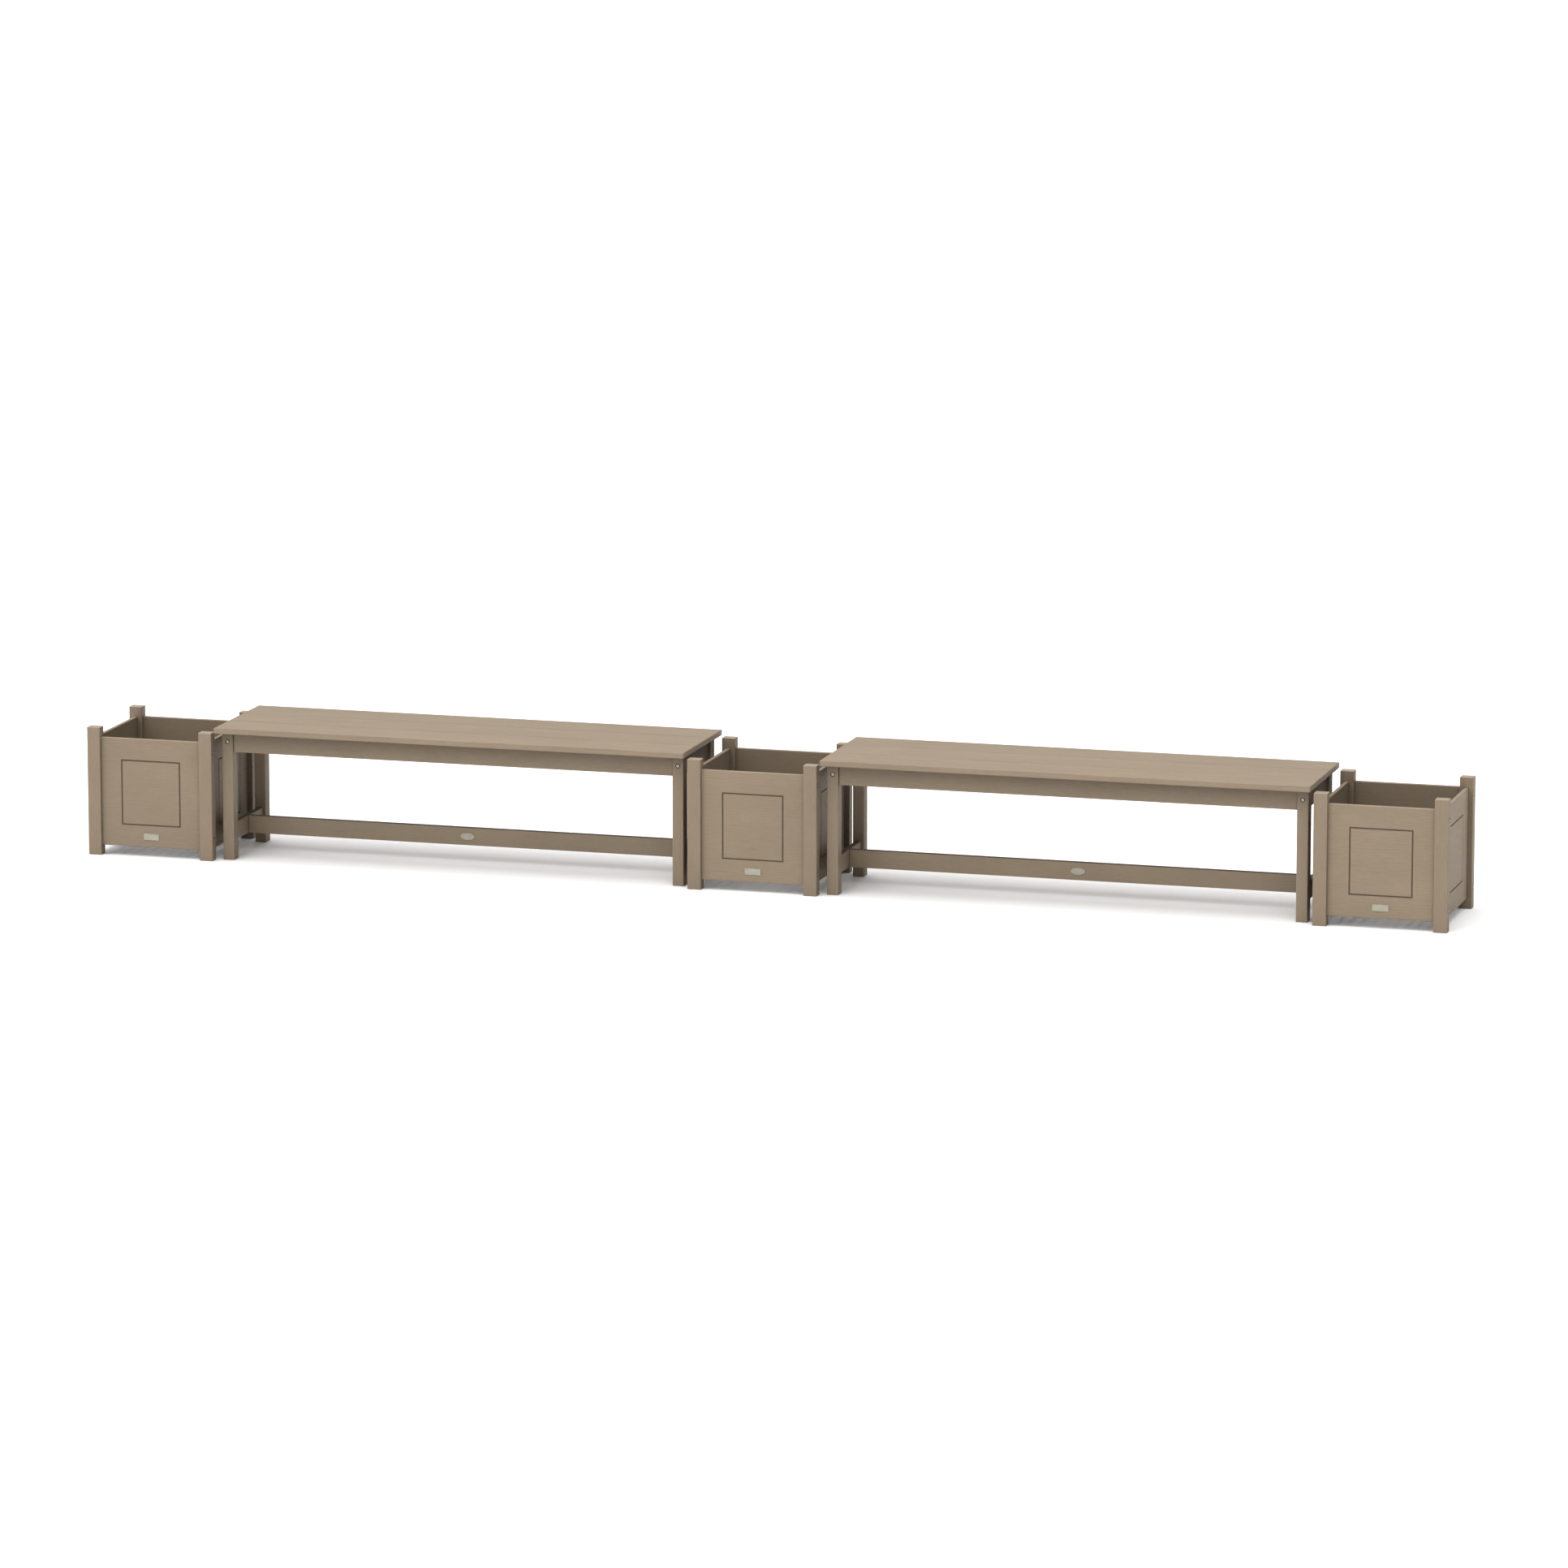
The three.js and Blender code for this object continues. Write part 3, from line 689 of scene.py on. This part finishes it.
class Nodes:
    """The node tree of a material or of the world, with short calls to add and join nodes."""

    def __init__(self, owner):
        owner.use_nodes = True
        self.owner = owner
        self.tree = owner.node_tree

    def add(self, kind, inputs=None, **settings):
        node = self.tree.nodes.new(kind)
        for key, value in settings.items():
            setattr(node, key, value)
        for key, value in (inputs or {}).items():
            self.set(node.inputs[key], value)
        return node

    def set(self, socket, value):
        if isinstance(value, bpy.types.NodeSocket):
            self.tree.links.new(value, socket)
        else:
            socket.default_value = value

    def math(self, operation, *values, clamp=False):
        inputs = dict(enumerate(values))
        node = self.add("ShaderNodeMath", inputs, operation=operation, use_clamp=clamp)
        return node.outputs[0]

    def share(self, first, second, amount):
        return self.math("ADD", first, self.math("MULTIPLY", second, amount))

    def noise(self, place, look, seed=0.0):
        inputs = dict(zip(("Scale", "Detail", "Roughness"), look), Vector=place, W=seed)
        return self.add("ShaderNodeTexNoise", inputs, noise_dimensions="4D").outputs["Fac"]

    def grain(self, place, look, seed=0.0):
        along, *rest = look
        stretched = self.vector("MULTIPLY", place, (along, 1, 1))
        return self.noise(stretched, rest, seed)

    def ramp(self, value, low, high, to_low, to_high):
        inputs = {"Value": value, 1: low, 2: high, 3: to_low, 4: to_high}
        return self.add("ShaderNodeMapRange", inputs, interpolation_type="SMOOTHSTEP").outputs[0]

    def mix(self, factor, first, second, blend="MIX"):
        node = self.add("ShaderNodeMix", data_type="RGBA", blend_type=blend)
        self.set(node.inputs[0], factor)
        self.set(node.inputs[6], first)
        self.set(node.inputs[7], second)
        return node.outputs[2]

    def vector(self, operation, *values):
        inputs = dict(enumerate(values))
        return self.add("ShaderNodeVectorMath", inputs, operation=operation).outputs[0]

    def attribute(self, name, output="Fac"):
        return self.add("ShaderNodeAttribute", attribute_name=name).outputs[output]

    def bump(self, height, strength, distance):
        inputs = {"Height": height, "Strength": strength, "Distance": distance}
        return self.add("ShaderNodeBump", inputs).outputs[0]

    def shade(self, **values):
        shader = self.tree.nodes["Principled BSDF"]
        for key, value in values.items():
            self.set(shader.inputs[key.replace("_", " ")], value)
        return self.owner


# A noise's look is its stretch along the grain, if it has one, then its scale, detail and
# roughness. A ramp, tone, wear or shade of four numbers is a value's low and high, and what these
# turn into. A bump is a strength and a distance. Colours are linear.

LUMBER_LIGHT = (0.230, 0.176, 0.119, 1)
LUMBER_DARK = (0.200, 0.152, 0.102, 1)
# Worn and bleached lumber, also a painted highlight on tops and top edges
LUMBER_WORN_AND_HIGHLIGHT = (0.320, 0.254, 0.184, 1)
LUMBER_END = (0.285, 0.224, 0.158, 1)
LUMBER_PORE = (0.120, 0.088, 0.058, 1)
# Grime in seams, also painted shade in cuts, under the seat and in narrow gaps
LUMBER_GRIME_AND_SHADE = (0.050, 0.034, 0.020, 1)
LUMBER_IOR = 1.45

# Fine streaks and pores, long dark marks, broad clouds and growth rings. The marks are stronger
# on seat planks than elsewhere. A wave's half and middle bring it to between 0 and 1.
STREAK_LOOK = (0.06, 520, 4, 0.65)
PORE_LOOK = (0.12, 1300, 3, 0.6)
MARK_LOOK = (0.05, 95, 2, 0.5)
CLOUD_LOOK = (0.4, 9, 3, 0.5)
WANDER_LOOK = (0.25, 7, 2, 0.5)
RING_SLANT = 0.83
RING_PITCH = 900
RING_WANDER = 60
HALF_WAVE = (0.5, 0.5)
STREAK_SHARE = 0.92
RING_SHARE = 0.08
FIGURE_RAMP = (0.25, 0.75, 0, 1)
PORE_RAMP = (0.58, 0.80, 0, 0.5)
MARK_RAMP = (0.56, 0.72, 0, 1)
MARK_STRENGTH = (0, 1, 0.10, 0.17)
CLOUD_TONE = (0.25, 0.75, 0.95, 1.05)
SEED_TONE = (0, SEED_SPAN, 0.97, 1.03)

# Wear at the edges, bare ends, and what a face gets for looking up: bleach and edge wear that are
# also a painted highlight, or painted shade under the seat
EDGE_RAMP = (0, 0.005, 1, 0)
END_RAMP = (0, 0.0015, 0.8, 0)
STREAK_WEAR = (0.35, 0.75, 0.35, 1)
UPWARD_WEAR_AND_HIGHLIGHT = (0.2, 0.9, 0.15, 1)
UPWARD_BLEACH_AND_HIGHLIGHT = (0.2, 0.9, 0, 0.08)
UPWARD_SHADE = (0.2, 0.9, 0, 0.85)

# Grime in seams, painted shade in cuts, and painted shade under overhangs and in narrow gaps
SEAM_RAMP = (0.4, 0.6, 0.1, 0.36)
SUNK_SHADE_RAMP = (0.0009, 0.0022, 0, 0.75)
SKY_LEAN = (0, 0, 0.9)
SHELTER_REACH = 0.12
SHELTER_SHADE = 0.85
SHELTER_POWER = 2
SHELTER_SAMPLES = 4

# Relief and gloss
STREAK_RELIEF = 0.7
PORE_RELIEF = -0.5
RING_RELIEF = 0.12
LUMBER_BUMP = (0.3, 0.0005)
STREAK_ROUGH = (0.3, 0.7, 0.72, 0.58)
WORN_GLOSS = -0.08


# Plastic lumber with a pressed wood grain along each board
def lumber_material():
    n = Nodes(bpy.data.materials.new("taupe plastic lumber"))
    place = n.attribute("board_place", "Vector")
    half = n.attribute("board_half", "Vector")
    seed = n.attribute("board_seed")
    seam = n.attribute("board_seam")
    shelter = n.attribute("board_shelter")
    board_tone = n.attribute("board_tone")

    streaks = n.grain(place, STREAK_LOOK, seed)
    pores = n.grain(place, PORE_LOOK, seed)
    marks = n.grain(place, MARK_LOOK, seed)
    clouds = n.grain(place, CLOUD_LOOK, seed)

    # Growth rings: bands across the board that wander along it
    wander = n.grain(place, WANDER_LOOK, seed)
    depth = n.add("ShaderNodeSeparateXYZ", {0: place}).outputs
    across = n.share(depth[1], depth[2], RING_SLANT)
    phase = n.share(n.math("MULTIPLY", across, RING_PITCH), wander, RING_WANDER)
    rings = n.math("MULTIPLY_ADD", n.math("SINE", phase), *HALF_WAVE)

    # Wear: how near a point lies to an edge of its board. At an edge two of the three gaps to
    # the board's faces are small, so the total less the widest is.
    away = n.vector("ABSOLUTE", place)
    gaps = n.add("ShaderNodeSeparateXYZ", {0: n.vector("SUBTRACT", half, away)}).outputs
    widest = n.math("MAXIMUM", n.math("MAXIMUM", gaps[0], gaps[1]), gaps[2])
    total = n.math("ADD", n.math("ADD", gaps[0], gaps[1]), gaps[2])
    edge = n.ramp(n.math("SUBTRACT", total, widest), *EDGE_RAMP)
    wear_and_highlight = n.math("MULTIPLY", edge, n.ramp(streaks, *STREAK_WEAR), clamp=True)

    # Faces that look up are bleached a little and worn most at their edges, which also paints a
    # highlight on tops and top edges, or get painted shade where a seat covers them
    normal = n.add("ShaderNodeNewGeometry").outputs["Normal"]
    upward = n.add("ShaderNodeSeparateXYZ", {0: normal}).outputs[2]
    exposed = n.math("SUBTRACT", 1.0, shelter)
    upward_wear_and_highlight = n.math("MULTIPLY", n.ramp(upward, *UPWARD_WEAR_AND_HIGHLIGHT), exposed)
    wear_and_highlight = n.math("MULTIPLY", wear_and_highlight, upward_wear_and_highlight)
    bleach_and_highlight = n.math("MULTIPLY", n.ramp(upward, *UPWARD_BLEACH_AND_HIGHLIGHT), exposed)
    upward_shade = n.math("MULTIPLY", n.ramp(upward, *UPWARD_SHADE), shelter)

    # The grain's own colours, and each board's tone over them. The tone holds painted shade on the
    # panels' inner faces
    figure = n.share(n.math("MULTIPLY", streaks, STREAK_SHARE), rings, RING_SHARE)
    colour = n.mix(n.ramp(figure, *FIGURE_RAMP), LUMBER_DARK, LUMBER_LIGHT)
    colour = n.mix(n.ramp(pores, *PORE_RAMP), colour, LUMBER_PORE)
    marked = n.math("MULTIPLY", n.ramp(marks, *MARK_RAMP), n.ramp(seam, *MARK_STRENGTH))
    colour = n.mix(marked, colour, LUMBER_PORE)
    tone = n.math("MULTIPLY", n.ramp(clouds, *CLOUD_TONE), n.ramp(seed, *SEED_TONE))
    tone = n.math("MULTIPLY", tone, board_tone)
    grey = n.add("ShaderNodeCombineColor", {0: tone, 1: tone, 2: tone}).outputs[0]
    colour = n.mix(1.0, colour, grey, "MULTIPLY")

    colour = n.mix(bleach_and_highlight, colour, LUMBER_WORN_AND_HIGHLIGHT)
    # Painted shade on the upward faces of the rails under the seat
    colour = n.mix(upward_shade, colour, LUMBER_GRIME_AND_SHADE)
    colour = n.mix(n.ramp(gaps[0], *END_RAMP), colour, LUMBER_END)
    # Edge wear, which is also a painted highlight on upward faces
    bare_and_highlight = n.math("MULTIPLY", wear_and_highlight, n.math("SUBTRACT", 1.0, seam))
    colour = n.mix(bare_and_highlight, colour, LUMBER_WORN_AND_HIGHLIGHT)

    # Grime in the seams between seat planks, and painted shade in whatever is cut below the faces
    seam_line = n.math("MULTIPLY", edge, n.ramp(marks, *SEAM_RAMP))
    colour = n.mix(n.math("MULTIPLY", seam_line, seam), colour, LUMBER_GRIME_AND_SHADE)
    sunk = n.math("MINIMUM", n.math("MINIMUM", gaps[0], gaps[1]), gaps[2])
    colour = n.mix(n.ramp(sunk, *SUNK_SHADE_RAMP), colour, LUMBER_GRIME_AND_SHADE)

    # Painted shade under overhangs and in narrow gaps, darker where an occlusion test finds less
    # open sky
    skyward = n.vector("NORMALIZE", n.vector("ADD", normal, SKY_LEAN))
    inputs = {"Distance": SHELTER_REACH, "Normal": skyward}
    open_sky = n.add("ShaderNodeAmbientOcclusion", inputs, samples=SHELTER_SAMPLES).outputs["AO"]
    covered = n.math("POWER", n.math("SUBTRACT", 1.0, open_sky), SHELTER_POWER)
    shelter_shade = n.math("MULTIPLY", covered, SHELTER_SHADE, clamp=True)
    colour = n.mix(shelter_shade, colour, LUMBER_GRIME_AND_SHADE)

    relief = n.share(n.math("MULTIPLY", streaks, STREAK_RELIEF), pores, PORE_RELIEF)
    relief = n.share(relief, rings, RING_RELIEF)
    rough = n.share(n.ramp(streaks, *STREAK_ROUGH), wear_and_highlight, WORN_GLOSS)
    bumped = n.bump(relief, *LUMBER_BUMP)
    return n.shade(Base_Color=colour, Roughness=rough, Normal=bumped, IOR=LUMBER_IOR)


STEEL_LIGHT = (0.40, 0.37, 0.32, 1)
STEEL_DARK = (0.24, 0.22, 0.19, 1)
STEEL_CLOUDS = (420, 3, 0.5)
STEEL_MARKS = (2600, 2, 0.5)
STEEL_RAMP = (0.3, 0.7, 0, 1)
STEEL_ROUGH = (0.3, 0.7, 0.26, 0.42)
STEEL_BUMP = (0.2, 0.0001)


# Stainless steel with fine marks
def steel_material():
    n = Nodes(bpy.data.materials.new("stainless steel"))
    place = n.add("ShaderNodeTexCoord").outputs["Object"]
    clouds = n.noise(place, STEEL_CLOUDS)
    marks = n.noise(place, STEEL_MARKS)
    colour = n.mix(n.ramp(clouds, *STEEL_RAMP), STEEL_DARK, STEEL_LIGHT)
    rough = n.ramp(marks, *STEEL_ROUGH)
    normal = n.bump(marks, *STEEL_BUMP)
    return n.shade(Base_Color=colour, Metallic=1.0, Roughness=rough, Normal=normal)


PLATE_LIGHT = (0.345, 0.320, 0.252, 1)
PLATE_DARK = (0.270, 0.250, 0.196, 1)
PLATE_CLOUDS = (90, 4, 0.5)
PLATE_BRUSH = (0.05, 2200, 2, 0.5)
PLATE_CLOUD_SHARE = 0.5
PLATE_BRUSH_SHARE = 0.5
PLATE_RAMP = (0.35, 0.65, 0, 1)
PLATE_ROUGH = (0.3, 0.7, 0.34, 0.46)
PLATE_BUMP = (0.15, 0.0002)
PLATE_IOR = 1.5


# The satin plastic of the blank plates and badges, brushed from side to side
def plate_material():
    n = Nodes(bpy.data.materials.new("satin plate"))
    place = n.add("ShaderNodeTexCoord").outputs["Object"]
    clouds = n.noise(place, PLATE_CLOUDS)
    brush = n.grain(place, PLATE_BRUSH)
    factor = n.share(n.math("MULTIPLY", clouds, PLATE_CLOUD_SHARE), brush, PLATE_BRUSH_SHARE)
    colour = n.mix(n.ramp(factor, *PLATE_RAMP), PLATE_DARK, PLATE_LIGHT)
    rough = n.ramp(clouds, *PLATE_ROUGH)
    normal = n.bump(brush, *PLATE_BUMP)
    return n.shade(Base_Color=colour, Roughness=rough, Normal=normal, IOR=PLATE_IOR)


# The whole row

# Repeats a finished unit at another one's place, with new grain
def repeat_unit(made, source, target):
    first, other = (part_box(unit + suffix)[0] for unit, suffix in (source, target))
    shift = Matrix.Translation(other - first)
    copies = []
    for piece, node, finish in made:
        copy = piece.copy()
        copy.name = piece.name.replace(source[0], target[0])
        copy.data = piece.data.copy()
        copy.data.name = copy.name
        copy.data.transform(shift)
        if "centre" in piece:
            copy["centre"] = list(shift @ Vector(piece["centre"]))
        bpy.context.scene.collection.objects.link(copy)
        copies.append((copy, node and node.replace(source[0], target[0]), finish))
    return copies


# Builds the first unit of each kind and repeats it
def build_row():
    row = []
    kinds = (("planter", build_planter, "_floor"), ("bench", build_bench, "_front_apron"))
    for kind, build, anchor in kinds:
        source = (f"{kind}_1", anchor)
        made = build(source[0])
        for piece, node, finish in made:
            finish_mesh(piece)
        row += made
        for count in range(2, UNITS[kind] + 1):
            row += repeat_unit(made, source, (f"{kind}_{count}", anchor))
    return row


# Gives each lumber piece its marks, each piece its material in a slot and its body, and hides the
# node that it replaces
def dress(row):
    materials = {"lumber": lumber_material(), "plate": plate_material(), None: steel_material()}
    for piece, node, finish in row:
        seed = rng.uniform(0, SEED_SPAN)
        if finish == "lumber":
            mark_board(piece, seed)
        piece.data.materials.clear()
        piece.data.materials.append(materials[finish])
        for key in ("grain", "centre", "half", "seam", "sheltered", "inward"):
            if key in piece:
                del piece[key]
        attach(piece, "root")
        if node:
            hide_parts(node)


# Stage, light and camera

def build_floor():
    bm = bmesh.new()
    bmesh.ops.create_grid(bm, x_segments=FLOOR_CELLS, y_segments=FLOOR_CELLS, size=FLOOR_REACH)
    floor = make_object("floor", bm)
    n = Nodes(bpy.data.materials.new("pale floor"))
    floor.data.materials.append(n.shade(Base_Color=FLOOR_COLOUR, Roughness=1, Specular_IOR_Level=0))


# A soft dome of light, brightest overhead, and brighter in front and on the left than behind and
# on the right
def build_light():
    n = Nodes(bpy.data.worlds.new("studio"))
    bpy.context.scene.world = n.owner
    place = n.add("ShaderNodeTexCoord").outputs["Generated"]
    x, y, z = n.add("ShaderNodeSeparateXYZ", {0: place}).outputs
    height = n.math("MAXIMUM", z, 0)
    overhead = n.math("POWER", height, DOME_POWER)
    overhead = n.math("MULTIPLY_ADD", overhead, DOME_OVERHEAD, DOME_ALL_ROUND)
    front = n.share(overhead, n.math("MULTIPLY", y, height), -DOME_FRONT)
    background = n.tree.nodes["Background"]
    n.set(background.inputs["Strength"], n.share(front, x, -DOME_LEFT))
    n.set(background.inputs["Color"], DOME_COLOUR)


def build_camera():
    data = bpy.data.cameras.new("camera")
    data.sensor_width = SENSOR_WIDTH
    data.lens = SENSOR_WIDTH * FOCAL_PIXELS / IMAGE_SIZE
    data.clip_end = CLIP_END
    camera = bpy.data.objects.new("camera", data)
    camera.location = CAMERA_PLACE
    camera.rotation_euler = (math.pi / 2 - CAMERA_PITCH, 0, CAMERA_YAW)
    bpy.context.scene.collection.objects.link(camera)
    bpy.context.scene.camera = camera
    bpy.context.scene.view_settings.view_transform = "Standard"


dress(build_row())
build_floor()
build_light()
build_camera()
